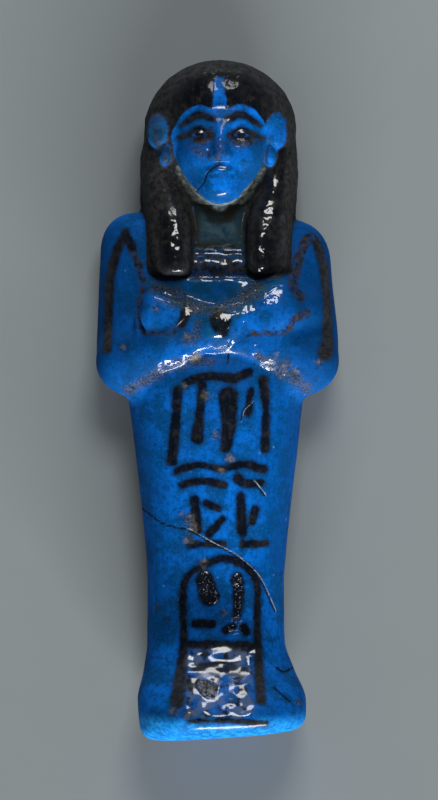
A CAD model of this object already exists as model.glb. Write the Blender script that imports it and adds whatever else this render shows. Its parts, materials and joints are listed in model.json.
"""A small mummiform ushabti of blue glazed composition, with a black glazed wig and black brush lines.

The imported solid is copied, refined and carved into one piece with the finer modelling, and its glaze, brush
lines, cracks and worn places are laid over it by materials that read attributes of the mesh.
"""

import json
import math

import bpy
import numpy as np
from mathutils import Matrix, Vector

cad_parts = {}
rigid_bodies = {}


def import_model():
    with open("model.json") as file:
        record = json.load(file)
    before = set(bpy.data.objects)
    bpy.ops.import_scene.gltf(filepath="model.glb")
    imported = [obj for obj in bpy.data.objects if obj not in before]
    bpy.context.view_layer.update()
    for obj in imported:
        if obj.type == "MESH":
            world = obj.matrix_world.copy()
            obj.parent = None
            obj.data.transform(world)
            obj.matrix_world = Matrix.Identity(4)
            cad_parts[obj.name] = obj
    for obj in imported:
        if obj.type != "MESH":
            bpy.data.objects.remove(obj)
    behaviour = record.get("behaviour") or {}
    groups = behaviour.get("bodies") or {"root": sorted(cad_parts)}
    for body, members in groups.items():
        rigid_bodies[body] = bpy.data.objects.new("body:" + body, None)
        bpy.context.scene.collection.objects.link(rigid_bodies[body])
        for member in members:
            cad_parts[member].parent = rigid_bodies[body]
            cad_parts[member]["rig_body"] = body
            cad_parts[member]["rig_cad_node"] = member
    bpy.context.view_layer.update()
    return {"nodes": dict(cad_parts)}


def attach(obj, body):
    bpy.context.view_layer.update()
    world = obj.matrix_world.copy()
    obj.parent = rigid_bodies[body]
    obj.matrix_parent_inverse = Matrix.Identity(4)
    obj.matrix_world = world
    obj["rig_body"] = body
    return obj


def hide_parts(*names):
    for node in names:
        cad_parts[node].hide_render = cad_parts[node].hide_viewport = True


bl_info = {
    "name": "Glazed Ushabti",
    "version": (1, 0, 0),
    "blender": (4, 5, 0),
    "location": "View3D > Sidebar > Ushabti",
    "description": "Builds a glazed mummiform figurine around its packed solid",
    "category": "Add Mesh",
}

MM = 0.001
CAMERA_HEIGHT = 0.76
VIEW_HEIGHT = 136.3 * MM  # what the camera's frame takes in, from top to bottom

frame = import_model()


# ---- Smooth solids: fields of points in millimetres that are negative inside ----
def curve(*stations):
    """A smooth curve through a few (position, value) stations that never swings past them."""
    at, value = np.array(stations, float).T
    gap = np.diff(at)
    rise = np.diff(value) / gap
    mean = (rise[:-1] * gap[1:] + rise[1:] * gap[:-1]) / (gap[:-1] + gap[1:])
    least = np.minimum(np.minimum(abs(rise[:-1]), abs(rise[1:])), abs(mean) / 2)
    inner = (np.sign(rise[:-1]) + np.sign(rise[1:])) * least
    slope = np.concatenate(([rise[0]], inner, [rise[-1]]))

    def evaluate(p):
        p = np.clip(p, at[0], at[-1])
        i = np.clip(np.searchsorted(at, p, side="right") - 1, 0, len(gap) - 1)
        t = (p - at[i]) / gap[i]
        bend = slope[i] + slope[i + 1] - 2 * rise[i]
        lift = slope[i] + t * (3 * rise[i] - 2 * slope[i] - slope[i + 1] + t * bend)
        return value[i] + gap[i] * t * lift

    return evaluate


def melt(a, b, width):
    """The union of two fields, with their meeting line rounded over a width."""
    near = np.maximum(width - abs(a - b), 0) / width
    return np.minimum(a, b) - near**2 * width / 4


def within(a, b, width):
    """The overlap of two fields, with their meeting line rounded over a width."""
    return -melt(-a, -b, width)


def cut(a, b, width):
    """The first field with the second taken out of it."""
    return within(a, -b, width)


def fade(p, first, last, start, end):
    """Runs from start to end while p runs from first to last, and holds still outside them."""
    return start + (end - start) * np.clip((p - first) / (last - first), 0, 1)


def section(dx, half, z, back, front, squareness):
    """An upright oval section between a back and a front height: its reach and its local size."""
    middle = back + 0.45 * (front - back)
    depth = np.where(z > middle, front - middle, middle - back)
    u, v = abs(dx) / half, abs(z - middle) / depth
    reach = (u**squareness + v**squareness) ** (1 / squareness)
    return reach, (u * half + v * depth) / (u + v + 1e-6)


def ellipsoid(p, centre, radii):
    """Distance from an ellipsoid's surface, true near the surface itself."""
    q = (p - np.array(centre)) / np.array(radii)
    k = np.linalg.norm(q, axis=1)
    slope = np.linalg.norm(q / np.array(radii), axis=1)
    return k * (k - 1) / np.maximum(slope, 1e-6)


def limb(p, joints, knee=1.2):
    """A round limb through joints given as (x, y, z, radius)."""
    nearest = None
    for a, b in zip(joints, joints[1:]):
        start, way = np.array(a[:3]), np.array(b[:3]) - np.array(a[:3])
        share = np.clip((p - start) @ way / (way @ way), 0, 1)
        off = np.linalg.norm(p - start - share[:, None] * way, axis=1)
        here = off - (a[3] + share * (b[3] - a[3]))
        nearest = here if nearest is None else melt(nearest, here, knee)
    return nearest


# ---- The figure's form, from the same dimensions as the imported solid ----
LENGTH = 115
CROWN_Y = LENGTH / 2
SOLE_Y = -LENGTH / 2
HEAD_X = 0.5
CHIN_Y = 33.2
LAPPET_END_Y = 20.9
SIDES = (-1, 1)

body_middle = curve((-57, 0.9), (-50, 0.7), (-40, -0.3), (-15, -0.2), (0, -0.3), (30, -0.2))
body_half = curve(
    (-58, 13.8), (-51, 14.3), (-46, 12.8), (-41, 11.7), (-32, 11.6), (-20, 12.5), (-8, 13.9), (0, 14.8),
    (12, 15.4), (30, 14.0),
)
body_front = curve(
    (-58, 20.6), (-55.5, 23.4), (-53, 24.4), (-50.5, 22.8), (-44, 16.8), (-40.5, 15.7), (-30, 16.9),
    (-16, 18.2), (-2, 18.9), (6, 18.6), (12, 16.8), (16, 15.5), (20.0, 16.3), (21.4, 15.0), (30, 14.2),
)
body_back = curve(
    (-58, 0.4), (-50, 0.2), (-42, 1.8), (-30, 1.0), (-12, -0.9), (-3, -0.9), (6, 0.6), (16, 0.1), (30, 0.3),
)
SOLE_TILT = 0.075
SOLE_ROUND = 2.6


def body(p):
    x, y, z = p.T
    reach, size = section(x - body_middle(y), body_half(y), z, body_back(y), body_front(y), 2.45)
    sole = SOLE_Y + SOLE_TILT * (x + 7) - y
    return within(within((reach - 1) * size, sole, SOLE_ROUND), y - 30.5, 5)


arms_middle = curve((0, -0.1), (10, 0.0), (20, -0.3), (31, -0.5))
arms_half = curve((0, 20.5), (8, 20.6), (20, 19.9), (31, 19.2))
arms_front = curve((0, 16.2), (10, 15.9), (20, 15.1), (31, 14.0))


def upper_arms(p):
    x, y, z = p.T
    reach, size = section(x - arms_middle(y), arms_half(y), z, 0.2, arms_front(y), 2.7)
    topped = within((reach - 1) * size, y + 0.045 * x - 31.4, 7)
    return within(topped, 1.7 + 0.35 * (abs(x) - 17.5) - y, 4.6)


FOREARM_FLATNESS = 1.3
LOWER_FOREARM = (
    (15.6, 6.6, 13.2, 4.3), (8.5, 9.2, 16.0, 4.1), (0, 11.4, 16.8, 3.9), (-6, 13.8, 16.1, 3.4),
)
UPPER_FOREARM = (
    (-15.6, 6.4, 13.2, 4.3), (-8, 8.9, 16.4, 4.1), (0.5, 12.5, 18.2, 3.5), (7.5, 15.4, 17.2, 3.3),
)


def forearm(p, joints):
    """A limb that is wider than it is deep."""
    flat = (1, 1, FOREARM_FLATNESS)
    return limb(p * flat, [(x, y, z * FOREARM_FLATNESS, r) for x, y, z, r in joints])


def fist(p, centre, turn):
    dx, dy, dz = (p - np.array(centre)).T
    c, s = math.cos(turn), math.sin(turn)
    half = (4.1, 3.0, 3.4)
    q = [(dx * c + dy * s) / half[0], (dy * c - dx * s) / half[1], dz / half[2]]
    return (sum(abs(v) ** 4.2 for v in q) ** (1 / 4.2) - 1) * half[1]


# The figure's left upper arm runs on into the fist beside it; a groove parts the other one.
ARM_BRIDGE = ((6, 16.2, 15.3, 3.0), (15, 15, 12.2, 3.6))
CREASE = ((-12.9, 21, 15.9, 0.8), (-13.4, 16, 16.6, 0.9), (-12.9, 11.8, 17.3, 0.6))


wig_middle = curve((20, -0.2), (34, 0), (46, HEAD_X))
wig_half = curve((20, 12.4), (34, 12.7), (46, 12.9))
wig_front = curve((20, 12.4), (32, 12.8), (38, 15.8), (44, 18.8), (50, 21.2), (54, 23.6), (57, 26.5))
wig_back = curve((20, 0.6), (30, -0.4), (36, -0.9), (44, -0.9), (50, 0.6))
lappet_front = curve((20, 17.6), (23.5, 18.8), (27, 18.5), (32, 17.4), (38, 16.0), (42, 15.6))
lappet_middle = curve((30, 8.35), (34, 9.1), (36, 9.7), (38, 10.3), (42, 11.2))
lappet_half = curve((30, 4.05), (34, 3.5), (36, 2.95), (38, 2.4), (42, 1.6))
lappet_lean = curve((24, 0.32), (28, 0.24), (36, 0.0))
WIG_CENTRE_Y = 45.9
WIG_BACK_END_Y = 23.5


def wig(p):
    x, y, z = p.T
    squareness = fade(y, 38, 50, 2.9, 2.3)
    reach, size = section(x - wig_middle(y), wig_half(y), z, wig_back(y), wig_front(y), squareness)
    dome = np.maximum(y - WIG_CENTRE_Y, 0) / (CROWN_Y - WIG_CENTRE_Y)
    return within((np.hypot(reach, dome) - 1) * size, WIG_BACK_END_Y - y, 2.2)


def lappet(p, side):
    x, y, z = p.T
    dx = x - side * lappet_middle(y) - 0.25
    front = lappet_front(y) - lappet_lean(y) * side * dx
    reach, size = section(dx, lappet_half(y), z, front - 13, front, 2.5)
    ended = within((reach - 1) * size, LAPPET_END_Y - y, 1.0)
    return within(ended, y - 42, 4)


NECK = ((0.3, 40, 8.6, 6.9), (0.2, 24, 7.6, 7.1))
NECK_BANDS = (
    ((-3.8, 22.5, 13.7, 2.6), (4.5, 22.5, 13.7, 2.6)),
    ((-4.0, 25.3, 14.6, 0.9), (4.6, 25.3, 14.6, 0.9)),
)

EYE_Y = 44.6
BROW_Y = 47
NOSE_BASE_Y = (BROW_Y + CHIN_Y) / 2
MOUTH_Y = NOSE_BASE_Y + (CHIN_Y - NOSE_BASE_Y) / 3
EYE_GAP = 3.5


def face(p):
    p = p - np.array((HEAD_X, 0, 0))
    mirrored = np.column_stack((abs(p[:, 0]), p[:, 1], p[:, 2]))
    skin = ellipsoid(p, (0, 44.6, 12.4), (8.7, 9.0, 9.2))
    skin = melt(skin, ellipsoid(p, (0, 39.4, 13.4), (6.2, 6.2, 7.6)), 2.5)
    skin = melt(skin, ellipsoid(p, (0, 40.2, 9.8), (9.2, 9.2, 6.9)), 1.0)
    skin = melt(skin, ellipsoid(mirrored, (3.6, 41.4, 16.4), (2.8, 2.8, 3.7)), 2.5)
    skin = melt(skin, ellipsoid(p, (0, CHIN_Y + 2.4, 17.2), (2.8, 2.5, 3.6)), 3)
    skin = cut(skin, ellipsoid(mirrored, (EYE_GAP, EYE_Y, 22.3), (2.5, 1.7, 1.9)), 1.2)
    skin = melt(skin, ellipsoid(mirrored, (EYE_GAP, EYE_Y, 18.7), (2.1, 1.15, 2.0)), 0.5)
    brow = [(1.2, BROW_Y - 0.3, 20.1, 0.8), (5.2, BROW_Y - 0.3, 18.6, 0.7)]
    skin = melt(skin, limb(mirrored, brow), 1.4)
    nose = [(0, BROW_Y - 0.6, 20.2, 0.9), (0, NOSE_BASE_Y + 1.2, 22.3, 1.15)]
    skin = melt(skin, limb(p, nose), 1.0)
    skin = melt(skin, ellipsoid(mirrored, (1.15, NOSE_BASE_Y + 0.8, 21.3), (0.8, 0.8, 0.9)), 0.6)
    skin = melt(skin, ellipsoid(p, (0, MOUTH_Y + 0.55, 20.2), (2.5, 0.62, 1.25)), 0.5)
    return melt(skin, ellipsoid(p, (0, MOUTH_Y - 0.6, 20.0), (2.1, 0.68, 1.25)), 0.5)


def ear(p, side):
    turned = p * (side, 1, 1)
    shell = ellipsoid(turned, (10.0, EYE_Y + 0.8, 14.6), (2.0, 3.0, 5.0))
    shell = melt(shell, ellipsoid(turned, (8.9, EYE_Y - 3.4, 13.6), (1.4, 2.3, 4.0)), 0.8)
    return within(shell, p[:, 2] + 0.25 * (turned[:, 0] - 10) - 17.5, 0.9)


def reaching(low):
    """Limits a field to the points past a height, where alone it can matter, to save time."""

    def limit(field):
        def limited(p):
            near = p[:, 1] > low
            distance = np.full(len(p), 20.0)
            distance[near] = field(p[near])
            return distance

        return limited

    return limit


@reaching(16)
def hair(p):
    head = wig(p)
    for side in SIDES:
        head = melt(head, lappet(p, side), 3.0)
    return head


@reaching(27)
def features(p):
    shown = face(p)
    for side in SIDES:
        shown = melt(shown, ear(p, side), 0.4)
    return shown


def add_arms(p, solid):
    """The body with its arms: each forearm flows out of its elbow and lies crisply on the chest."""
    x = p[:, 0]
    solid = melt(solid, upper_arms(p), 1.6)
    solid = melt(solid, limb(p, NECK), 2)
    for band in NECK_BANDS:
        solid = melt(solid, limb(p, band), 0.4)
    solid = melt(solid, forearm(p, LOWER_FOREARM), fade(x, 9, 14, 0.5, 4))
    solid = melt(solid, fist(p, (-9.2, 14.4, 15.9), -0.33), 0.4)
    solid = melt(solid, limb(p, ARM_BRIDGE), 2.5)
    settled = fade(x, 4, 11, 0, 4)
    solid = melt(solid, forearm(p, UPPER_FOREARM), fade(x, -9, -14, 0.5, 4) + settled)
    solid = melt(solid, fist(p, (8.6, 15.7, 15.9), 0.3), 0.4 + settled)
    return cut(solid, limb(p, CREASE), 0.6)


def trunk(p):
    solid = body(p)
    near = abs(p[:, 1] - 18) < 24
    solid[near] = add_arms(p[near], solid[near])
    return solid


def figure(p):
    head = melt(hair(p), features(p), 0.5)
    return within(melt(trunk(p), head, 0.6), -p[:, 2], 0.3)


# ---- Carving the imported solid's copy to the finer form ----
def probe(field, p, gap=0.03):
    """The field's value and slope at each point, from four places round it."""
    corners = np.array(((1, -1, -1), (-1, -1, 1), (-1, 1, -1), (1, 1, 1)), float)
    values = np.array([field(p + gap * corner) for corner in corners])
    return values.mean(0), values.T @ corners / (4 * gap)


def settle(p, field, rounds):
    """Moves points along the field's slope until they lie on its surface."""
    for _ in range(rounds):
        value, slope = probe(field, p)
        step = np.clip(value / np.maximum((slope**2).sum(1), 0.25), -0.8, 0.8)
        p = p - step[:, None] * slope
    return p


def read_points(mesh):
    co = np.empty(len(mesh.vertices) * 3)
    mesh.vertices.foreach_get("co", co)
    return co.reshape(-1, 3) / MM


def write_points(mesh, p):
    mesh.vertices.foreach_set("co", (p * MM).astype(np.float32).ravel())
    mesh.update()


def only(piece):
    """Selects one object alone, and makes it the active one."""
    bpy.ops.object.select_all(action="DESELECT")
    piece.select_set(True)
    bpy.context.view_layer.objects.active = piece


def refined_copy(node, grain):
    """The node's solid as one closed mesh of even quads about a grain wide."""
    only(frame["nodes"][node])
    bpy.ops.object.duplicate()
    piece = bpy.context.object
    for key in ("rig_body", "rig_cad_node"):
        del piece[key]
    piece.parent = None
    bpy.ops.object.mode_set(mode="EDIT")
    bpy.ops.mesh.select_all(action="SELECT")
    bpy.ops.mesh.remove_doubles(threshold=1e-6)
    bpy.ops.object.mode_set(mode="OBJECT")
    even = piece.modifiers.new("even", "REMESH")
    even.mode = "VOXEL"
    even.voxel_size = grain * MM
    even.use_smooth_shade = True
    bpy.ops.object.modifier_apply(modifier=even.name)
    return piece


def relax(mesh, p, field, rounds):
    """Evens out the spacing of points along the surface, and brings them back to it."""
    edges = np.empty(len(mesh.edges) * 2, np.int32)
    mesh.edges.foreach_get("vertices", edges)
    a, b = edges.reshape(-1, 2).T
    count = np.bincount(edges, minlength=len(p))[:, None]
    for _ in range(rounds):
        total = [np.bincount(a, p[b, k], len(p)) + np.bincount(b, p[a, k], len(p)) for k in range(3)]
        shift = np.column_stack(total) / count - p
        slope = probe(field, p)[1]
        facing = slope / np.maximum(np.linalg.norm(slope, axis=1), 0.2)[:, None]
        shift -= (shift * facing).sum(1)[:, None] * facing
        p = settle(p + 0.6 * shift, field, 1)
    return settle(p, field, 2)


def lumps(p, size, seed=0):
    """Smooth noise between -1 and 1 whose lumps are about a size wide."""
    q = p / size + 17.3 * seed
    base = np.floor(q)
    t = q - base
    t = t * t * (3 - 2 * t)
    total = 0
    for corner in np.ndindex(2, 2, 2):
        chance = np.sin((base + corner) @ (12.9898, 78.233, 37.719)) * 43758.5453
        share = np.prod(np.where(corner, t, 1 - t), axis=1)
        total = total + share * (2 * (chance - np.floor(chance)) - 1)
    return total


# ---- Brush strokes, cracks and worn places, laid out on the front as seen from above ----
FAR = 9  # a distance at which no mark shows
OUT_OF_REACH = 50.0  # the distance that a search for the nearest stroke starts from


def bent(points, steps=5):
    """Points along a smooth line through the given ones."""
    t = np.linspace(0, len(points) - 1, steps * (len(points) - 1) + 1)
    return np.column_stack([curve(*enumerate(values))(t) for values in zip(*points)])


def off_segment(spot, a, b):
    """Where each spot's nearest point lies from a to b, as a share of the way, and how far off it is."""
    way = b - a
    share = np.clip((spot - a) @ way / (way @ way), 0, 1)
    return share, np.linalg.norm(spot - a - share[:, None] * way, axis=1)


def from_stroke(spot, points, widths):
    """Distance from a stroke's edge; the widths run evenly from its first end to its last."""
    line = bent(points)
    half = np.interp(np.linspace(0, 1, len(line)), np.linspace(0, 1, len(widths)), widths) / 2
    nearest = np.full(len(spot), OUT_OF_REACH)
    for a, b, wide, next_wide in zip(line[:-1], line[1:], half[:-1], half[1:]):
        share, off = off_segment(spot, a, b)
        nearest = np.minimum(nearest, off - wide - share * (next_wide - wide))
    return nearest


def from_strokes(spot, strokes):
    """Distance from the edge of the nearest stroke."""
    return np.min([from_stroke(spot, points, widths) for points, widths in strokes], axis=0)


def from_spots(spot, spots):
    """Distance from the edge of the nearest round spot, each given as (x, y, width)."""
    return np.min([np.linalg.norm(spot - s[:2], axis=1) - s[2] / 2 for s in spots], axis=0)


def beside(spot, lines):
    """Signed distance from the nearest line, positive on its left."""
    nearest = np.full(len(spot), OUT_OF_REACH)
    for points in lines:
        line = bent(points)
        for a, b in zip(line[:-1], line[1:]):
            off = off_segment(spot, a, b)[1]
            (dx, dy), (x, y) = b - a, (spot - a).T
            nearest = np.where(off < abs(nearest), off * np.where(dx * y > dy * x, 1, -1), nearest)
    return nearest


def across(strokes):
    """The strokes and their mirror images on the other side of the face."""
    return strokes + [([(2 * HEAD_X - x, y) for x, y in points], widths) for points, widths in strokes]


# Hoe handles over the arms, the outline of the lower fist and the drop between the forearms.
SLEEVES = [
    ([(-15.6, 28.4), (-17.4, 24.2), (-18.4, 19.0), (-18.5, 13.5), (-18.7, 8.4)],
     (1.1, 1.4, 1.3, 1.2, 1.3)),
    ([(-15.6, 28.4), (-14.5, 25.8)], (1.1, 1.3)),
    ([(17.0, 26.2), (18.1, 22.2), (18.6, 16.0), (18.6, 11.0), (18.3, 7.8)], (1.2, 1.3, 1.2, 1.5, 2.3)),
    ([(-6.0, 12.7), (-5.1, 15.0)], (1.3, 1.6)),
    ([(0.5, 13.2), (0.7, 12.2), (1.0, 10.9)], (3.3, 2.6, 1.0)),
]
# The fainter lines round the forearms and fists, worn brown.
WORN_SLEEVES = [
    ([(16.9, 26.6), (15.7, 27.6), (14.1, 24.9), (13.1, 21.8), (12.7, 19.0), (14.2, 17.2)],
     (1.5, 1.8, 2.0, 1.5)),
    ([(15.1, 14.6), (12.8, 13.4), (12.2, 12.1), (10.1, 11.1), (6.8, 11.1), (4.8, 10.7)],
     (1.5, 1.0, 0.7)),
    ([(-14.5, 25.8), (-13.5, 23.2), (-12.7, 20.4), (-12.8, 18.2)], (1.2, 1.3, 1.0)),
    ([(-12.8, 18.2), (-13.4, 15.0), (-13.0, 12.2), (-12.0, 11.1), (-8.2, 11.1), (-6.0, 12.5)],
     (0.7, 0.7, 1.1)),
]
# Worn brown dabs on the collar and the instep.
WORN_DABS = [
    ([(-3.4, 23.4), (4.2, 23.4)], (3.6, 3.6)),
    ([(-3.8, -45.2), (0.4, -45.0), (4.6, -45.6)], (1.2, 2.2, 1.0)),
    ([(-4.4, -48.0), (-1.4, -48.6)], (1.9, 2.6)),
]

# Brows, lids and pupils of a calm, plain face.
FACE_LINES = across([
    ([(1.7, BROW_Y - 0.1), (4.0, BROW_Y + 0.8), (7.2, BROW_Y - 1.0)], (0.9, 1.1, 0.6)),
    ([(2.1, EYE_Y - 0.3), (4.0, EYE_Y + 0.9), (5.9, EYE_Y - 0.1), (7.6, EYE_Y - 0.6)], (0.6, 0.8, 0.6)),
    ([(2.4, EYE_Y - 0.5), (4.0, EYE_Y - 1.1), (5.8, EYE_Y - 0.3)], (0.5, 0.6)),
    ([(3.9, EYE_Y - 0.1), (4.1, EYE_Y - 0.1)], (1.3, 1.3)),
])

# The column down the legs: plain bars, bows and dabs that spell nothing.
COLUMN = [
    ([(-5.4, 2.9), (-1.5, 3.9), (2.8, 3.6), (5.3, 4.6)], (1.0, 1.4, 1.3)),
    ([(-6.7, 1.6), (-7.1, -4.5), (-7.7, -10.4)], (1.4, 1.6)),
    ([(-2.6, 2.4), (-3.0, -2.6), (-3.4, -6.4)], (1.3, 1.2, 2.1)),
    ([(1.8, 0.6), (1.9, -4.0), (1.4, -8.0)], (3.0, 2.4, 1.7)),
    ([(7.7, 3.2), (8.2, -2.0), (8.0, -8.4)], (1.6, 1.0, 1.4)),
    ([(5.6, 1.6), (5.2, -2.2)], (0.9, 1.1)),
    ([(-6.9, -12.0), (-3.2, -11.0), (0.6, -11.6), (4.4, -10.9), (7.8, -11.8)], (1.2, 0.9, 1.3)),
    ([(-6.0, -14.4), (-2.6, -13.7), (1.0, -14.3)], (1.0, 1.2)),
    ([(3.4, -13.3), (5.0, -14.2), (7.4, -14.0)], (1.5, 1.0)),
    ([(-3.9, -16.9), (-3.6, -19.5), (-3.3, -22.0)], (1.5, 1.1)),
    ([(-1.9, -17.5), (0.0, -18.2)], (1.2, 1.0)),
    ([(0.8, -20.2), (-1.4, -22.6)], (1.1, 1.3)),
    ([(-4.6, -24.5), (1.0, -24.2)], (1.0, 0.9)),
    ([(3.9, -16.3), (4.2, -22.4)], (1.4, 1.5)),
    ([(6.4, -18.6), (5.9, -20.6)], (1.4, 1.1)),
    ([(4.4, -24.4), (8.2, -24.3)], (1.3, 0.9)),
]
# A plain rounded frame with a few dabs in it, and a bar where the instep begins.
FRAME = [
    ([(-2.4, -28.0), (-5.0, -29.8), (-5.9, -34.0), (-5.7, -40.0), (-5.9, -44.0), (-6.8, -50.6)],
     (0.9, 1.0, 1.1, 2.1)),
    ([(-2.4, -28.0), (1.2, -26.8), (5.0, -28.4), (6.8, -32.0), (6.7, -39.0), (7.3, -50.2)],
     (0.9, 1.3, 0.9, 1.5)),
    ([(-2.2, -30.2), (-1.4, -33.2)], (2.7, 3.3)),
    ([(3.3, -30.4), (3.6, -32.6), (3.3, -36.6)], (2.2, 1.8, 1.2)),
    ([(1.4, -38.9), (2.6, -38.3)], (1.4, 1.2)),
    ([(4.5, -38.6), (4.9, -39.2)], (1.5, 1.3)),
    ([(-3.6, -37.8), (-1.0, -37.9)], (1.5, 1.3)),
    ([(-4.9, -41.3), (0.0, -41.5), (6.4, -41.8)], (1.2, 1.4)),
    ([(-4.6, -53.7), (1.0, -53.6), (8.0, -54.2)], (0.5, 0.8)),
]

# Each crack's line; the glaze has parted a little along it.
CRACKS = [
    ([(-12.8, -18.4), (-9.0, -21.0), (-4.7, -22.0), (-0.9, -24.2), (3.2, -26.4), (7.0, -30.0), (9.7, -35.8)],
     (0.1, 0.22, 0.1)),
    ([(0.9, 41.6), (0.1, 39.4), (-1.7, 38.0), (-2.3, 36.4), (-3.6, 35.1)], (-0.14, 0.04, -0.1)),
    ([(1.7, 9.2), (1.8, 7.4), (1.6, 5.9)], (0.1,)),
    ([(6.3, -14.0), (7.9, -16.0)], (0.15, 0.2)),
    ([(5.7, -0.4), (4.3, -1.8), (4.0, -3.4)], (0.1,)),
    ([(10.0, -45.4), (11.3, -46.1), (12.7, -45.6)], (0.1,)),
    ([(9.5, -48.4), (12.2, -50.8)], (0.1,)),
    ([(18.7, 26.6), (19.4, 26.2)], (0.2,)),
]

# Places where the glaze is worn to the sandy body: (x, y, width).
BARE_SPOTS = [
    (-4.7, -20.0, 1.7), (-4.2, -21.7, 1.5), (-4.8, -23.6, 1.7), (-5.9, -19.4, 0.8), (-2.3, -27.6, 1.5),
    (1.0, -35.9, 1.0), (-2.2, 0.6, 1.4), (-5.6, 2.2, 1.1), (-0.2, -6.0, 1.2), (2.0, -10.0, 1.4),
    (0.7, -11.9, 0.9), (-5.2, 10.6, 1.0), (-3.6, 7.0, 1.6), (-16.0, 8.8, 0.9), (-10.4, 15.2, 0.7),
    (17.2, 6.2, 1.0), (11.5, 6.0, 1.4), (9.6, 7.2, 1.0), (13.2, 4.6, 1.2), (13.6, -51.0, 0.7),
    (-7.4, -52.2, 1.3), (-5.0, -52.6, 1.4), (-10.2, -35.2, 0.4), (-8.6, -37.2, 0.4),
]
# Rubbed brown places: the lappets and the wig's edge, under the collar, one ear, the eyes and the nose.
RUBBED = [
    ([(-8.9, 40.0), (-6.9, 35.8), (-5.2, 31.5), (-4.6, 28.0)], (1.6, 2.2, 1.4, 0.8)),
    ([(-10.6, 38.0), (-10.8, 30.0), (-11.2, 23.0)], (1.0, 1.4)),
    ([(-9.4, 38.0), (-9.8, 34.0), (-10.2, 31.0)], (2.4, 2.6, 1.2)),
    ([(-3.4, 21.4), (4.2, 21.4)], (2.2, 2.2)),
    ([(-4.6, 43.0), (-1.8, 43.2), (-1.2, 45.4)], (0.8, 1.6, 1.0)),
    ([(-4.2, 42.2), (-2.2, 41.2)], (1.4, 1.8)),
    ([(0.4, 43.0), (0.1, 40.6)], (1.2, 1.2)),
    ([(2.2, 43.2), (3.8, 42.8), (6.0, 43.3)], (0.8, 1.4, 1.0)),
    ([(-10.4, 48.4), (-10.2, 45.6), (-9.4, 41.0)], (1.6, 2.2, 1.4)),
    ([(-7.4, 36.6), (-6.8, 33.0), (-5.4, 28.0)], (2.6, 1.8, 1.0)),
    ([(12.0, 46.0), (12.3, 38.0), (12.2, 30.0)], (0.8, 1.4)),
    ([(-8.3, 47.6), (-8.2, 43.0), (-8.8, 40.6)], (1.0, 1.4)),
]
# Sandy places: the chest between the fists, the arms' lower edges, and specks at the eyes and the nose.
SANDY = [
    ([(-10.4, 18.9), (-7.0, 17.4), (-3.2, 15.6), (0.3, 15.0)], (1.8, 3.0, 2.6, 1.8)),
    ([(0.3, 15.2), (3.0, 16.2), (6.6, 18.8)], (2.2, 1.8, 3.0)),
    ([(-15.0, 1.6), (-11.0, 3.8), (-7.4, 5.7), (-3.6, 6.6), (-1.0, 6.4)], (1.6, 1.8, 1.8, 1.0)),
    ([(6.6, 7.6), (9.6, 5.4), (12.4, 3.8), (15.2, 1.8)], (1.0, 2.0, 1.6)),
    ([(-3.3, 12.6), (-3.9, 10.0), (-5.4, 9.6)], (1.2, 0.8)),
    ([(-3.2, 43.1), (-1.7, 43.6), (-1.4, 44.8)], (0.5, 0.9, 0.6)),
    ([(-3.6, 41.9), (-2.4, 41.3)], (0.7, 0.9)),
    ([(0.5, 42.4), (0.2, 40.6)], (0.4, 0.6)),
    ([(2.8, 43.3), (4.0, 43.0), (5.4, 43.6)], (0.5, 0.8, 0.5)),
]
# Places where the glaze is hammered and glints: the lappets' ends, the arms' ridges and the crown.
GLINTS = [
    ([(-8.4, 31.0), (-7.4, 27.0), (-6.6, 21.6)], (1.6, 3.0, 2.4)),
    ([(9.4, 36.0), (8.4, 30.0), (7.2, 23.0)], (1.2, 2.4, 2.4)),
    ([(-9.6, 5.6), (-4.0, 7.9), (2.0, 10.4)], (1.8, 3.0, 2.8)),
    ([(1.2, 12.6), (5.0, 14.6), (9.5, 16.4)], (1.6, 2.4, 2.0)),
    ([(6.4, 8.0), (11.2, 4.2)], (2.2, 2.2)),
    ([(-10.4, 17.6), (-4.6, 16.0)], (1.6, 1.6)),
    ([(0.2, 54.8), (2.6, 53.0)], (3.0, 3.4)),
]
# Thick, bubbly dabs in the frame and on the instep.
BUBBLES = [
    ([(-2.2, -30.4), (-1.4, -33.0)], (2.6, 3.2)),
    ([(3.3, -30.6), (3.6, -32.6), (3.3, -36.6), (3.0, -38.6)], (2.2, 1.6, 1.4, 3.0)),
    ([(-2.6, -48.0), (-1.4, -48.6)], (1.9, 2.6)),
]
# Cracks whose broken glaze shows a pale lip on the left of the line.
LIPS = [
    [(-4.7, -22.0), (-0.9, -24.2), (3.2, -26.4), (7.0, -30.0), (9.7, -35.8)],
    [(6.3, -14.0), (7.9, -16.0)],
    [(5.7, -0.4), (4.3, -1.8), (4.0, -3.4)],
]

jaw_half = curve((32.9, 0), (33.3, 1.7), (35.5, 4.2), (38, 6.2), (41.4, 7.8), (46, 8.5))


def from_jaw(x, y):
    """Distance outside the face's edge, from ear to ear round the chin."""
    low = np.clip(y, 32.9, 60)
    lean = np.interp(low, (33, 34, 36, 39), (0.45, 0.62, 0.85, 0.97))
    return np.where(y < 32.9, np.hypot(x, 32.9 - y), (abs(x) - jaw_half(low)) * lean)


def from_hairline(x, y):
    """Distance below the hair's lower edge on the forehead, which has two arches."""
    return 48.3 + 1.1 * np.exp(-(((abs(x) - 3.4) / 2.6) ** 2)) - 0.33 * np.maximum(abs(x) - 5, 0) ** 2 - y


def from_ears(p):
    """Distance outside the painted discs of the ears and their lobes, which are scaled circles."""
    x, y = abs(p[:, 0]), p[:, 1]
    reach = [np.hypot((x - cx) / wide, (y - cy) / tall) for (cx, cy), (wide, tall) in EAR_DISCS]
    return np.min([(r - 1) * min(radii) for r, (_, radii) in zip(reach, EAR_DISCS)], axis=0)


def from_box(p, box):
    """Distance outside an upright box that is given by its centre and half its sizes."""
    centre, half = box
    return (abs(p[:, :2] - centre) - half).max(axis=1)


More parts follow.
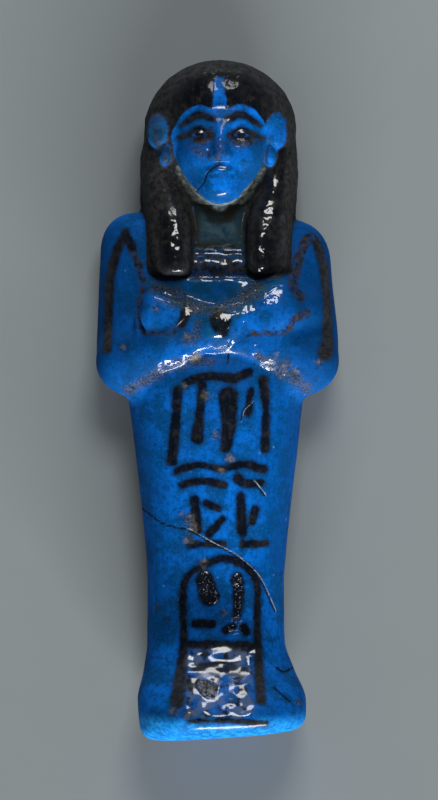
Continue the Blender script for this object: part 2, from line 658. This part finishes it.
# Painted places as (centre, half size): the throat, the skin under the jaw, the collar's bands and the
# instep's thick panel. The ears' discs are (centre, radii), the same on either side.
THROAT = ((0.25, 29.5), (4.7, 4.3))
UNDER_JAW = ((0.25, 36.6), (11, 5.2))
COLLAR = ((0.3, 23.8), (4.4, 1.5))
PANEL = ((0.3, -47.6), (5.6, 5.4))
PANEL_AND_BAR = ((0.3, -47.6), (5.6, 6))
EAR_DISCS = (((10.0, 45.5), (1.7, 2.7)), ((8.8, 41.2), (1.1, 1.9)))
STRIPE_TOP = 54.2  # the upper end of the blue stripe in the wig over the forehead
TOE_Y = -53.4  # the upturned foot is paler beyond it


def head_marks(p, front):
    """Distances from the painted edges of the wig, the skin, the jaw's rim and the neck."""
    x, y = p[:, 0] - HEAD_X, p[:, 1]
    jaw, ears, below = from_jaw(x, y), from_ears(p), from_hairline(x, y)
    modelled = hair(p) - np.minimum(trunk(p), features(p))
    hairline = np.where(front & (y > 44), below, FAR)
    stripe = np.maximum(abs(x + 0.2) - np.interp(y, (48, STRIPE_TOP), (1.35, 0.7)), y - STRIPE_TOP)
    stripe = np.where(front & (y > 46), stripe, FAR)
    shield = np.maximum(jaw - fade(y, 37, 42, 1.4, 0), -below)
    spared = np.where(front, np.minimum(shield, ears), FAR)
    neck = np.minimum(from_box(p, THROAT), from_box(p, UNDER_JAW))
    shown = front & (y > 28)
    return {
        "hair": np.max([np.minimum(modelled, hairline), -stripe, -spared], axis=0),
        "skin": np.where(shown, np.minimum(jaw, ears), FAR),
        "jaw": np.where(shown, jaw + fade(y, 39, 42, 0, 6), FAR),
        "neck": np.where(front, neck, FAR),
    }


def front_marks(p):
    """Distances from the brush strokes, cracks, worn places and thick glaze of the front."""
    x, y = p[:, 0], p[:, 1]
    spot = p[:, :2]
    hollow = np.maximum(-x - 10.6, x - 8) * 0.5 + abs(x - 0.2) * 0.36 + 14.4 - y
    left_ear = np.where(x < 0, from_ears(p), FAR)
    return {
        "ink": from_strokes(spot, SLEEVES + FACE_LINES + COLUMN + FRAME),
        "worn_ink": from_strokes(spot, WORN_SLEEVES + WORN_DABS),
        "crack": from_strokes(spot, CRACKS),
        "lip": beside(spot, LIPS),
        "bare": from_spots(spot, BARE_SPOTS),
        "rubbed": from_strokes(spot, RUBBED),
        "sandy": from_strokes(spot, SANDY),
        "glints": from_strokes(spot, GLINTS),
        "bubbles": from_strokes(spot, BUBBLES),
        "panel": from_box(p, PANEL),
        "dim": np.min([np.maximum(y - 20.6, hollow), from_box(p, COLLAR), left_ear], axis=0),
    }


def worn_shares(p, facing, front):
    """From 0 to 1: where the gloss is dull, where the lumps run fully, and where the blue is dark."""
    x, y, z = p.T
    side = fade(abs(facing[:, 2]), 0.94, 0.65, 0, 1)
    upper = fade(facing[:, 2], -0.4, 0.2, 0, 1)
    ears = from_ears(p) < 0.3
    elbows = fade(abs(x + 0.5), 8, 10.5, 0, 0.9) * (y > 0) * (y < 9)
    toes = fade(y, -52.8, -54, 0, 0.55)
    nose = 0.6 * (np.hypot((x - HEAD_X) / 1.8, (y - 43.6) / 4.6) < 1) * (z > 18)
    lappet_top = fade(y, 30, 33, 0, 0.8) * (y < 44) * (x < -4) * front
    dull = np.max([side, 0.8 * ears, elbows, toes, nose, lappet_top], axis=0)
    arms = upper * fade(y, 0, 4, 0, 1) * fade(y, 29, 32, 1, 0) * fade(abs(x), 6, 18, 0.6, 1)
    sides = side * ~ears * fade(y, -38, -26, 0.05, 0.5)
    left_leg = upper * fade(x, -16, -8, 0.7, 0) * fade(y, -44, -36, 0, 1) * fade(y, -4, 0, 1, 0)
    return {
        "dull": dull * ~(front & (from_box(p, PANEL_AND_BAR) < 0)),
        "calm": fade(y, 46, 56, 1, 0.3),
        "shade": np.max([arms * (0.55 + 0.3 * side), sides, left_leg], axis=0),
    }


def lay_out(mesh, p, facing, steep):
    """Stores each point's distance from each mark on the mesh, in millimetres, and the worn shares."""
    front = (facing[:, 2] > 0.05) & (p[:, 2] > 4)
    marks = head_marks(p, front) | worn_shares(p, facing, front)
    marks |= {name: np.where(front, distance, FAR) for name, distance in front_marks(p).items()}
    marks["crawled"] = np.min([marks[name] for name in ("hair", "rubbed", "glints", "dim")], axis=0)
    marks["toe"] = np.maximum(p[:, 1] - TOE_Y, 9 - p[:, 2])
    marks["hollow"] = 0.7 - figure(p + 0.7 * facing) / steep
    marks["edge"] = 0.7 + figure(p - 0.7 * facing) / steep
    for name, values in marks.items():
        layer = mesh.attributes.new(name, "FLOAT", "POINT")
        layer.data.foreach_set("value", values.astype(np.float32))
    return marks


# ---- Materials ----
class Graph:
    """A node tree that is written as sums: each call adds a node and gives back its output."""

    def __init__(self, tree):
        self.tree = tree

    def fill(self, node, inputs):
        """Links or sets a node's inputs."""
        for key, value in inputs.items():
            if isinstance(value, bpy.types.NodeSocket):
                self.tree.links.new(value, node.inputs[key])
            else:
                node.inputs[key].default_value = value
        return node

    def add(self, kind, inputs, output=0, **settings):
        node = self.tree.nodes.new("ShaderNode" + kind)
        for name, value in settings.items():
            setattr(node, name, value)
        return self.fill(node, inputs).outputs[output]

    def math(self, operation, *values):
        return self.add("Math", dict(enumerate(values)), operation=operation)

    def mark(self, name):
        return self.add("Attribute", {}, "Fac", attribute_name=name)

    def times(self, a, b):
        return self.math("MULTIPLY", a, b)

    def most(self, first, *others):
        for other in others:
            first = self.math("MAXIMUM", first, other)
        return first

    def noise(self, size, detail=2.0, roughness=0.5, stretch=None):
        """Noise about 0.5, with features a size in millimetres wide, drawn out along Y by a stretch."""
        where = self.add("TexCoord", {}, "Object")
        if stretch:
            where = self.add("VectorMath", {0: where, 1: (1, 1 / stretch, 1)}, operation="MULTIPLY")
        settings = {"Vector": where, "Scale": 1 / (size * MM), "Detail": detail, "Roughness": roughness}
        return self.add("TexNoise", settings, "Fac")

    def between(self, value, low, high, start=0.0, end=1.0):
        """The value's smooth rise from low to high, as a number from start to end."""
        inputs = {"Value": value, "From Min": low, "From Max": high, "To Min": start, "To Max": end}
        return self.add("MapRange", inputs, interpolation_type="SMOOTHSTEP")

    def blend(self, share, a, b):
        return self.add("Mix", {0: share, 6: a, 7: b}, 2, data_type="RGBA")

    def layered(self, colour, *layers):
        """The colour with others laid over it, each given as (share, colour)."""
        for share, over in layers:
            colour = self.blend(share, colour, over)
        return colour

    def group(self, tree, output, **inputs):
        node = self.tree.nodes.new("ShaderNodeGroup")
        node.node_tree = tree
        return self.fill(node, inputs).outputs[output]

    def give(self, value, node, key):
        self.tree.links.new(value, node.inputs[key])


def new_group(name, inputs):
    """A new group's graph, its inputs and its output node, which takes one mask."""
    tree = bpy.data.node_groups.new(name, "ShaderNodeTree")
    for key, value in inputs.items():
        socket = tree.interface.new_socket(key, in_out="INPUT", socket_type="NodeSocketFloat")
        socket.default_value = value
    tree.interface.new_socket("Mask", in_out="OUTPUT", socket_type="NodeSocketFloat")
    return Graph(tree), tree.nodes.new("NodeGroupInput").outputs, tree.nodes.new("NodeGroupOutput")


def ragged_group():
    """A mark's mask from its distance, with an uneven edge as a brush or wear leaves."""
    inputs = {"Distance": 0.0, "Unevenness": 0.3, "Grain": 1.0, "Softness": 0.15}
    g, given, result = new_group("Ragged edge", inputs)
    where = g.add("TexCoord", {}, "Object")
    scale = g.math("DIVIDE", 1 / MM, given["Grain"])
    grain = g.add("TexNoise", {"Vector": where, "Scale": scale, "Detail": 3.0, "Roughness": 0.6})
    shift = g.times(g.math("SUBTRACT", grain, 0.5), given["Unevenness"])
    distance = g.math("ADD", given["Distance"], g.times(shift, 2.0))
    mask = g.between(distance, g.times(given["Softness"], -1.0), given["Softness"], 1.0, 0.0)
    g.give(mask, result, "Mask")
    return g.tree


def specks_group():
    """Round specks scattered at random: the share of cells that hold one is set by Amount."""
    g, given, result = new_group("Scattered specks", {"Size": 1.0, "Amount": 0.3, "Radius": 0.3})
    where = g.add("TexCoord", {}, "Object")
    scale = g.math("DIVIDE", 1 / MM, given["Size"])
    cells = g.fill(g.tree.nodes.new("ShaderNodeTexVoronoi"), {"Vector": where, "Scale": scale}).outputs
    chance = g.add("SeparateColor", {"Color": cells["Color"]}, 0)
    held = g.math("LESS_THAN", chance, given["Amount"])
    g.give(g.times(held, g.between(cells["Distance"], 0.0, given["Radius"], 1.0, 0.0)), result, "Mask")
    return g.tree


# Colours in linear light, besides the ones that the settings hold.
THIN_BLUE, STREAKED_BLUE = (0.0009, 0.06, 0.19, 1), (0.0007, 0.045, 0.19, 1)
MOTTLED_BLUE, GRAINY_BLUE = (0.0008, 0.045, 0.17, 1), (0.0015, 0.17, 0.56, 1)
EDGE_BLUE, HOLLOW_BLUE = (0.006, 0.2, 0.6, 1), (0.002, 0.045, 0.13, 1)
TOE_BLUE, SHADED_BLUE = (0.012, 0.23, 0.57, 1), (0.0006, 0.042, 0.16, 1)
DIM_BLUE, HALO_BLUE = (0.002, 0.06, 0.13, 1), (0.001, 0.022, 0.075, 1)
STAIN_BLUE, MILKY_BLUE = (0.008, 0.02, 0.035, 1), (0.1, 0.13, 0.2, 1)
DARK_SPECK, PALE_SPECK = (0.002, 0.016, 0.04, 1), (0.2, 0.35, 0.5, 1)
WORN_BLACK, STREAKED_BLACK = (0.016, 0.015, 0.013, 1), (0.011, 0.012, 0.0125, 1)
DULL_BLACK, CRACK_BLACK = (0.032, 0.034, 0.035, 1), (0.003, 0.005, 0.01, 1)
NECK_BLUE, NECK_GREY = (0.008, 0.04, 0.075, 1), (0.05, 0.09, 0.11, 1)
NECK_BROWN, JAW_BROWN = (0.016, 0.015, 0.009, 1), (0.015, 0.014, 0.009, 1)
DARK_RIM, PALE_RIM = (0.03, 0.045, 0.043, 1), (0.2, 0.23, 0.205, 1)
DARK_BROWN, PALE_BROWN = (0.004, 0.007, 0.012, 1), (0.04, 0.032, 0.025, 1)
DARK_SAND, PALE_SAND = (0.010, 0.012, 0.011, 1), (0.095, 0.085, 0.065, 1)
DARK_TAN, PALE_TAN = (0.03, 0.032, 0.025, 1), (0.2, 0.165, 0.105, 1)
SAND_SPARK, LIP_WHITE = (0.5, 0.55, 0.56, 1), (0.3, 0.36, 0.37, 1)


class GlazeGraph(Graph):
    """The glaze's nodes, with the noises and masks that its colour, gloss and bump share."""

    def __init__(self, tree):
        super().__init__(tree)
        self.ragged, self.specks = ragged_group(), specks_group()
        self.fine, self.patches = self.noise(0.9, 4.0, 0.65), self.noise(4.0, 5.0, 0.7)
        self.mottles = self.noise(1.7, 4.0, 0.7)
        self.streaks = self.noise(0.55, 3.0, 0.6, stretch=11)
        flakes = self.between(self.noise(0.5, 4.0, 0.75), 0.32, 0.57)
        self.skin, self.neck = self.edge_of("skin", 0.12, 1.2, 0.12), self.edge_of("neck", 0.3, 1.5, 0.4)
        self.rim = self.edge_of("jaw", 0.6, 1.2, 0.4, 1.1)
        self.slope = self.edge_of("jaw", 0.8, 1.6, 0.5, 3.3)
        self.hair = self.edge_of("hair", 0.45, 1.0, 0.25)
        self.bare = self.edge_of("bare", 1.5, 0.9, 0.3)
        self.crack = self.edge_of("crack", 0.06, 0.8, 0.12, 0.12)
        self.rubbed = self.edge_of("rubbed", 1.0, 1.3, 0.8)
        self.flaked = self.times(self.rubbed, flakes)
        self.sandy = self.times(self.edge_of("sandy", 1.0, 1.2, 0.7), flakes)
        self.grime = self.times(self.between(self.mark("hollow"), 0.15, 0.5), flakes)
        self.pits = self.scattered(1.1, 0.5, 0.35)

    def edge_of(self, name, unevenness, grain, softness, beyond=0.0):
        """A mark's mask with an uneven edge, which may lie a distance beyond the mark's own."""
        distance = self.math("SUBTRACT", self.mark(name), beyond) if beyond else self.mark(name)
        inputs = {"Distance": distance, "Unevenness": unevenness, "Grain": grain, "Softness": softness}
        return self.group(self.ragged, "Mask", **inputs)

    def scattered(self, size, amount, radius):
        return self.group(self.specks, "Mask", Size=size, Amount=amount, Radius=radius)


def blue_glaze(g, settings):
    """Blue that is deeper or thinner in patches, with faint streaks, pale edges and specks."""
    broad = g.between(g.noise(11.0, 3.0), 0.35, 0.65)
    toe = g.times(g.edge_of("toe", 1.0, 2.5, 1.0), g.between(g.fine, 0.4, 0.6, 0.2, 0.9))
    return g.layered(
        g.blend(broad, (*settings.deep_blue, 1), (*settings.bright_blue, 1)),
        (g.between(g.patches, 0.42, 0.54, 0.9, 0.0), THIN_BLUE),
        (g.between(g.streaks, 0.48, 0.7, 0.0, 0.5), STREAKED_BLUE),
        (g.between(g.fine, 0.43, 0.68, 0.0, 0.65), MOTTLED_BLUE),
        (g.between(g.noise(0.3, 2.0), 0.5, 0.75, 0.0, 0.5), GRAINY_BLUE),
        (g.times(g.between(g.mark("edge"), 0.05, 0.5), 0.3), EDGE_BLUE),
        (g.times(g.between(g.mark("hollow"), 0.06, 0.45), 0.55), HOLLOW_BLUE),
        (toe, TOE_BLUE),
        (g.mark("shade"), SHADED_BLUE),
        (g.times(g.scattered(1.5, 0.4, 0.22), 0.7), DARK_SPECK),
        (g.times(g.scattered(2.3, 0.18, 0.12), 0.6), PALE_SPECK),
    )


def black_glaze(g, settings):
    """Black of the wig and the brush, with worn mottles, streaks and dull sides."""
    return g.layered(
        g.blend(g.between(g.mottles, 0.5, 0.68), (*settings.black, 1), WORN_BLACK),
        (g.between(g.streaks, 0.5, 0.72, 0.0, 0.6), STREAKED_BLACK),
        (g.times(g.mark("dull"), g.between(g.fine, 0.4, 0.6, 0.4, 0.9)), DULL_BLACK),
    )


def neck_paint(g):
    """Grey, worn blue of the neck, browner towards its sides."""
    sides = g.times(g.between(g.mark("neck"), -2.6, -0.6), g.between(g.mottles, 0.4, 0.6, 0.4, 1.0))
    return g.blend(sides, g.blend(g.between(g.mottles, 0.35, 0.65), NECK_BLUE, NECK_GREY), NECK_BROWN)


def pale_lip(g):
    """The narrow, broken line of pale glaze along the left of the larger cracks."""
    off = g.math("ABSOLUTE", g.math("SUBTRACT", g.mark("lip"), 0.2))
    lip = g.times(g.between(off, 0.03, 0.12, 1.0, 0.0), g.between(g.fine, 0.4, 0.6, 0.1, 1.0))
    return g.times(lip, g.between(g.mark("crack"), 0.3, 0.55, 1.0, 0.0))


def paint(g, settings):
    """The whole colour: the blue, then the neck, the black, and the worn places over them."""
    blue, black = blue_glaze(g, settings), black_glaze(g, settings)
    brown = g.blend(g.between(g.fine, 0.35, 0.65), DARK_BROWN, PALE_BROWN)
    rim = g.blend(g.between(g.fine, 0.35, 0.65), DARK_RIM, PALE_RIM)
    sand = g.blend(g.between(g.noise(0.35, 3.0), 0.38, 0.62), DARK_SAND, PALE_SAND)
    tan = g.blend(g.between(g.mottles, 0.4, 0.6), DARK_TAN, PALE_TAN)
    ink, halo = g.edge_of("ink", 0.5, 1.3, 0.26, 0.1), g.edge_of("ink", 0.6, 1.1, 0.4, 0.4)
    worn_ink, dim = g.edge_of("worn_ink", 0.5, 1.0, 0.3), g.edge_of("dim", 0.5, 1.5, 0.6)
    stain, panel = g.edge_of("bare", 1.4, 1.2, 0.6, 0.4), g.edge_of("panel", 0.8, 2.0, 0.6)
    return g.layered(
        g.blend(g.neck, blue, neck_paint(g)),
        (g.times(g.slope, g.between(g.mottles, 0.4, 0.6, 0.7, 1.0)), JAW_BROWN),
        (g.times(g.rim, 0.9), rim),
        (g.skin, blue),
        (g.times(dim, g.between(g.mottles, 0.35, 0.6, 0.35, 0.85)), DIM_BLUE),
        (g.times(halo, 0.55), HALO_BLUE),
        (g.times(worn_ink, g.between(g.noise(1.2, 4.0, 0.7), 0.4, 0.55, 0.25, 0.95)), brown),
        (g.times(ink, g.between(g.fine, 0.55, 0.75, 0.98, 0.6)), black),
        (g.hair, black),
        (g.times(g.rubbed, g.between(g.patches, 0.35, 0.6, 0.9, 0.35)), brown),
        (g.times(g.sandy, 0.85), sand),
        (g.times(g.sandy, g.scattered(0.7, 0.14, 0.3)), SAND_SPARK),
        (g.times(g.grime, 0.5), sand),
        (g.times(stain, g.between(g.fine, 0.4, 0.6, 0.15, 0.6)), STAIN_BLUE),
        (g.times(g.bare, g.between(g.fine, 0.4, 0.6, 0.3, 0.95)), tan),
        (g.times(g.crack, 0.9), CRACK_BLACK),
        (pale_lip(g), LIP_WHITE),
        (g.times(panel, g.between(g.noise(2.2, 2.0), 0.42, 0.6, 0.0, 0.7)), MILKY_BLUE),
        (g.times(panel, g.between(g.noise(2.4, 3.0, 0.6), 0.52, 0.6, 0.0, 0.9)), black),
        (g.times(panel, g.times(worn_ink, 0.8)), black),
    )


def ripple(g):
    """How high the clear coat's own fine ripple stands, in metres, where it crawled or bubbled."""
    crawled = g.between(g.mark("crawled"), -0.3, 0.3, 0.2, 0.04)
    crawled = g.math("ADD", crawled, g.between(g.mark("glints"), -0.5, 0.5, 0.2, 0.0))
    bubbles = g.times(g.noise(0.6, 2.0, 0.5), g.between(g.mark("bubbles"), -0.3, 0.3, 0.4, 0.0))
    return g.times(g.math("ADD", g.times(g.noise(1.5, 1.0, 0.4), crawled), bubbles), MM)


def grain(g):
    """How high the fine grain, the pits and the worn places stand, in metres."""
    worn = (g.times(g.bare, 0.5), g.times(g.crack, 1.6), g.times(g.sandy, 0.3), g.times(g.flaked, 0.5))
    height = g.times(g.noise(0.35, 2.0), 0.008)
    for more in (g.times(g.pits, -0.04), g.times(g.most(*worn), -0.09)):
        height = g.math("ADD", height, more)
    return g.times(height, MM)


def glaze_material(settings):
    """Blue glaze with black glazed hair and brush lines, worn to a sandy body in places."""
    material = bpy.data.materials.new("Blue and black glaze")
    material.use_nodes = True
    g = GlazeGraph(material.node_tree)
    shader = material.node_tree.nodes["Principled BSDF"]
    g.give(paint(g, settings), shader, "Base Color")

    # The gloss is a clear coat, which is thin or gone where the surface is worn, steep or pitted.
    worn_neck = g.times(g.most(g.neck, g.rim, g.slope), g.math("SUBTRACT", 1.0, g.most(g.hair, g.skin)))
    worn = (g.times(g.sandy, 0.8), g.times(g.flaked, 0.8), g.times(g.grime, 0.8), worn_neck)
    matte = g.most(g.bare, *worn)
    crown = g.math("SUBTRACT", 1.0, g.mark("calm"))
    dulled = g.most(g.mark("dull"), g.times(matte, 0.8), g.times(crown, 1.2))
    coat = g.times(g.between(dulled, 0.0, 0.9, 0.9, 0.0), g.between(g.pits, 0.0, 1.0, 1.0, 0.4))
    under = g.between(g.noise(2.5, 3.0), 0.3, 0.7, 0.3, 0.5)
    g.give(coat, shader, "Coat Weight")
    g.give(g.most(under, g.times(g.most(matte, g.mark("dull")), 0.75)), shader, "Roughness")
    shader.inputs["Coat Roughness"].default_value = 0.11
    shader.inputs["Specular IOR Level"].default_value = 0.05

    for height, key in ((ripple(g), "Coat Normal"), (grain(g), "Normal")):
        g.give(g.add("Bump", {"Height": height, "Distance": 1.0, "Strength": 1.0}), shader, key)
    return material


def plain_material(name, colour, roughness):
    """A matt material whose colour varies a little in broad patches."""
    material = bpy.data.materials.new(name)
    material.use_nodes = True
    g = Graph(material.node_tree)
    shader = material.node_tree.nodes["Principled BSDF"]
    dark, pale = ((*[shade * part for part in colour], 1) for shade in (0.965, 1.035))
    g.give(g.blend(g.noise(14.0, 4.0, 0.6), dark, pale), shader, "Base Color")
    shader.inputs["Roughness"].default_value = roughness
    return material


# ---- Pieces ----
def size_property(name, description, default, least=0, top=0.5):
    """A length, whose numbers are given here in millimetres."""
    return bpy.props.FloatProperty(
        name=name, description=description, default=default * MM, min=least * MM, soft_max=top * MM,
        precision=5, subtype="DISTANCE", unit="LENGTH",
    )


def colour_property(name, description, default):
    """A colour in linear light."""
    return bpy.props.FloatVectorProperty(
        name=name, description=description, default=default, min=0, max=1, size=3, subtype="COLOR",
    )


class UshabtiSettings(bpy.types.PropertyGroup):
    """The sizes, colours and light that a user would change"""

    grain: size_property("Grain", "Width of the fine mesh's faces", 0.405, 0.1, 1)
    unevenness: size_property("Unevenness", "How high the soft lumps of the hand-worked glaze stand", 0.05)
    crawling: size_property("Crawling", "How high the close lumps of the hair and worn places stand", 0.12)
    instep_lumps: size_property("Instep lumps", "How high the blistered glaze on the instep stands", 0.28)
    bright_blue: colour_property("Bright blue", "Glaze where it is clean and bright", (0.0009, 0.14, 0.6))
    deep_blue: colour_property("Deep blue", "The glaze's broad deeper patches", (0.0006, 0.09, 0.38))
    black: colour_property("Black", "Hair and brush lines where they are clean", (0.002, 0.003, 0.0055))
    floor: colour_property("Floor", "Paper that the figurine lies on", (0.198, 0.224, 0.231))
    light: bpy.props.FloatProperty(
        name="Light", description="Strength of the studio lights",
        default=1, min=0, soft_max=4, subtype="FACTOR",
    )


def relief(p, marks, settings):
    """The glaze's own thickness over the form, in millimetres."""
    x, y, z = p.T

    def share(name):
        return np.clip(0.5 - marks[name], 0, 1)

    base = settings.unevenness / MM
    height = base * (lumps(p, 4.5) + 0.5 * lumps(p, 2.0, 1))
    height += share("hair") * base * fade(y, 42, 50, 1.8, 0.7) * (lumps(p, 2.6, 2) + 0.6 * lumps(p, 1.3, 3))
    crawled = np.maximum(share("crawled") * marks["calm"], 0.4 * share("skin"))
    height += crawled * settings.crawling / MM * (lumps(p, 1.6, 7) + 0.5 * lumps(p, 0.9, 8))
    height += share("glints") * settings.crawling / MM * lumps(p, 1.2, 9)
    height += share("panel") * settings.instep_lumps / MM * (lumps(p, 3.0, 4) + 0.8 * lumps(p, 1.6, 5))
    chest = np.clip(1.5 - np.hypot((x - 0.2) / 8, (y - 18) / 2.4), 0, 1) * (z > 12)
    return height + chest * 0.12 * lumps(p, 1.2, 6)


class USHABTI_OT_figurine(bpy.types.Operator):
    """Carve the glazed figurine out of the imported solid's copy"""

    bl_idname = "ushabti.figurine"
    bl_label = "Figurine"
    bl_options = {"REGISTER", "UNDO"}

    def execute(self, context):
        settings = context.scene.ushabti
        piece = refined_copy("figurine", settings.grain / MM)
        mesh = piece.data
        p = settle(read_points(mesh), figure, 4)
        write_points(mesh, relax(mesh, p, figure, 4))
        refine_face(piece)
        p = relax(mesh, read_points(mesh), figure, 2)
        facing = probe(figure, p)[1]
        steep = np.linalg.norm(facing, axis=1)
        facing /= steep[:, None]
        marks = lay_out(mesh, p, facing, steep)
        raised = p + relief(p, marks, settings)[:, None] * facing * (p[:, 2] > 0.3)[:, None]
        write_points(mesh, raised)
        piece.name = mesh.name = "glazed_figurine"
        mesh.materials.clear()
        mesh.materials.append(glaze_material(settings))
        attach(piece, "root")
        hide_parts("figurine")
        return {"FINISHED"}


def refine_face(piece):
    """Halves the mesh's faces over the face, where the features are small."""
    only(piece)
    mesh = piece.data
    p = read_points(mesh)
    near = (np.hypot((p[:, 0] - HEAD_X) / 12, (p[:, 1] - 42) / 9.5) < 1) & (p[:, 2] > 12.5)
    bpy.ops.object.mode_set(mode="EDIT")
    bpy.ops.mesh.select_mode(type="VERT")
    bpy.ops.mesh.select_all(action="DESELECT")
    bpy.ops.object.mode_set(mode="OBJECT")
    mesh.vertices.foreach_set("select", near)
    bpy.ops.object.mode_set(mode="EDIT")
    bpy.ops.mesh.subdivide(number_cuts=1)
    bpy.ops.object.mode_set(mode="OBJECT")


# Each light: where it stands, its width and height, and its power in watts, all aimed at one point.
LIGHTS = {
    "head side": ((0.05, 0.31, 0.45), (0.19, 0.17), 1.7),
    "head card": ((0.00, 0.60, 0.10), (0.24, 0.16), 1.5),
    "foot side": ((0.18, -1.20, 0.34), (1.00, 0.28), 38.0),
}
LIT_POINT = Vector((0, 0, 0.01))
ROOM_COLOUR = (0.9, 0.96, 1.0, 1)
ROOM_STRENGTH = 0.03
FLOOR_SIZE = 3
FLOOR_ROUGHNESS = 0.85
CAMERA_PLACE = (0.26 * MM, -0.08 * MM, 9 * MM + CAMERA_HEIGHT)
SENSOR_HEIGHT = 24


class USHABTI_OT_stage(bpy.types.Operator):
    """Set up the floor, the studio lights and the camera"""

    bl_idname = "ushabti.stage"
    bl_label = "Stage"
    bl_options = {"REGISTER", "UNDO"}

    def execute(self, context):
        scene = context.scene
        bpy.ops.object.select_all(action="DESELECT")
        bpy.ops.mesh.primitive_plane_add(size=FLOOR_SIZE)
        floor = context.object
        floor.name = "floor"
        floor.data.materials.append(plain_material("Pale paper", scene.ushabti.floor, FLOOR_ROUGHNESS))

        world = bpy.data.worlds.new("Studio")
        scene.world = world
        world.use_nodes = True
        room = world.node_tree.nodes["Background"].inputs
        room["Color"].default_value = ROOM_COLOUR
        room["Strength"].default_value = ROOM_STRENGTH

        for name, (place, size, power) in LIGHTS.items():
            bpy.ops.object.light_add(type="AREA", location=place)
            panel = context.object
            panel.name = name
            panel.data.shape = "RECTANGLE"
            panel.data.size, panel.data.size_y = size
            panel.data.energy = power * scene.ushabti.light
            aim = LIT_POINT - Vector(place)
            panel.rotation_euler = aim.to_track_quat("-Z", "Y").to_euler()

        bpy.ops.object.camera_add(location=CAMERA_PLACE)
        camera = context.object
        camera.data.sensor_fit = "VERTICAL"
        camera.data.sensor_height = SENSOR_HEIGHT
        camera.data.lens = SENSOR_HEIGHT * CAMERA_HEIGHT / VIEW_HEIGHT
        camera.data.clip_start = 0.05
        scene.camera = camera
        scene.view_settings.view_transform = "Standard"
        return {"FINISHED"}


class USHABTI_PT_panel(bpy.types.Panel):
    """Sidebar panel with the figurine's settings"""

    bl_idname = "USHABTI_PT_panel"
    bl_label = "Ushabti"
    bl_space_type = "VIEW_3D"
    bl_region_type = "UI"
    bl_category = "Ushabti"

    def draw(self, context):
        settings = context.scene.ushabti
        for name in UshabtiSettings.__annotations__:
            self.layout.prop(settings, name)
        self.layout.operator("ushabti.figurine")
        self.layout.operator("ushabti.stage")


CLASSES = (UshabtiSettings, USHABTI_OT_figurine, USHABTI_OT_stage, USHABTI_PT_panel)


def register():
    for each in CLASSES:
        bpy.utils.register_class(each)
    bpy.types.Scene.ushabti = bpy.props.PointerProperty(type=UshabtiSettings)


def unregister():
    del bpy.types.Scene.ushabti
    for each in reversed(CLASSES):
        bpy.utils.unregister_class(each)


def main():
    register()
    bpy.ops.ushabti.figurine()
    bpy.ops.ushabti.stage()


if __name__ == "__main__":
    main()
